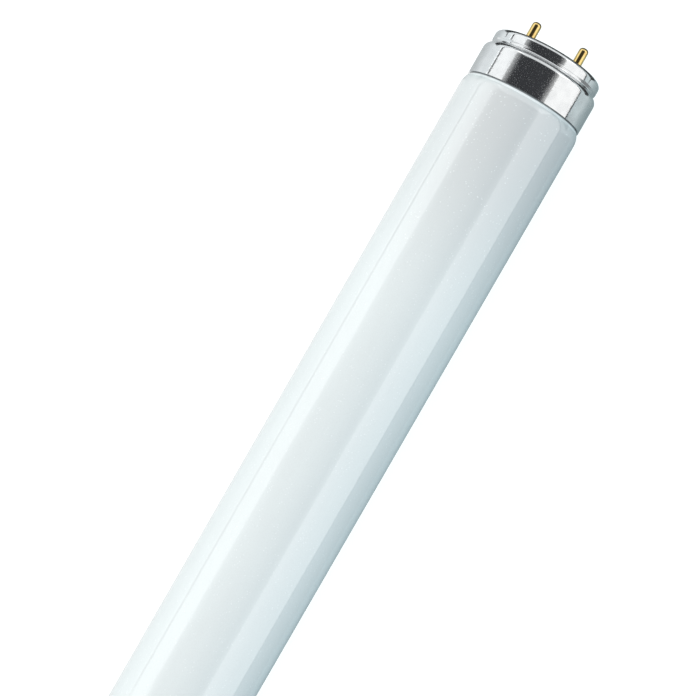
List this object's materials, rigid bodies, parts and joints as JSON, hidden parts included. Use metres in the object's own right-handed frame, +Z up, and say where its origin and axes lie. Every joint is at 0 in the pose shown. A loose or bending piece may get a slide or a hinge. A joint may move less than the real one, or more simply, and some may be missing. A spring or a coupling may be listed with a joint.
{
  "type": "fluorescent tube",
  "caption": "Straight white fluorescent tube lamp with aluminium end caps and a pair of contact pins at each end, for two-pin lampholders.",
  "frame": {"origin": "on the tube's axis, midway between its ends", "axes": "+X along the tube to the end that the picture shows, +Y across through both pins, +Z up as the tube lies"},
  "size_m": [0.6024, 0.031, 0.031],
  "materials": {
    "white_glass": "smooth clear glass over a matt white inner coating",
    "aluminium": "bright drawn sheet with a fine grain",
    "phenolic": "satin brown insulating board",
    "brass": "bright brass, a little dulled",
    "cement": "dull baked cement",
    "copper": "drawn copper wire"
  },
  "bodies": {
    "root": {"glass_tube": "white_glass", "cement_ring_left": "cement", "end_cap_left": "aluminium", "insulating_disc_left": "phenolic", "contact_pin_left_front": "brass", "lead_wire_left_front": "copper", "contact_pin_left_back": "brass", "lead_wire_left_back": "copper", "cement_ring_right": "cement", "end_cap_right": "aluminium", "insulating_disc_right": "phenolic", "contact_pin_right_front": "brass", "lead_wire_right_front": "copper", "contact_pin_right_back": "brass", "lead_wire_right_back": "copper"}
  },
  "joints": []
}
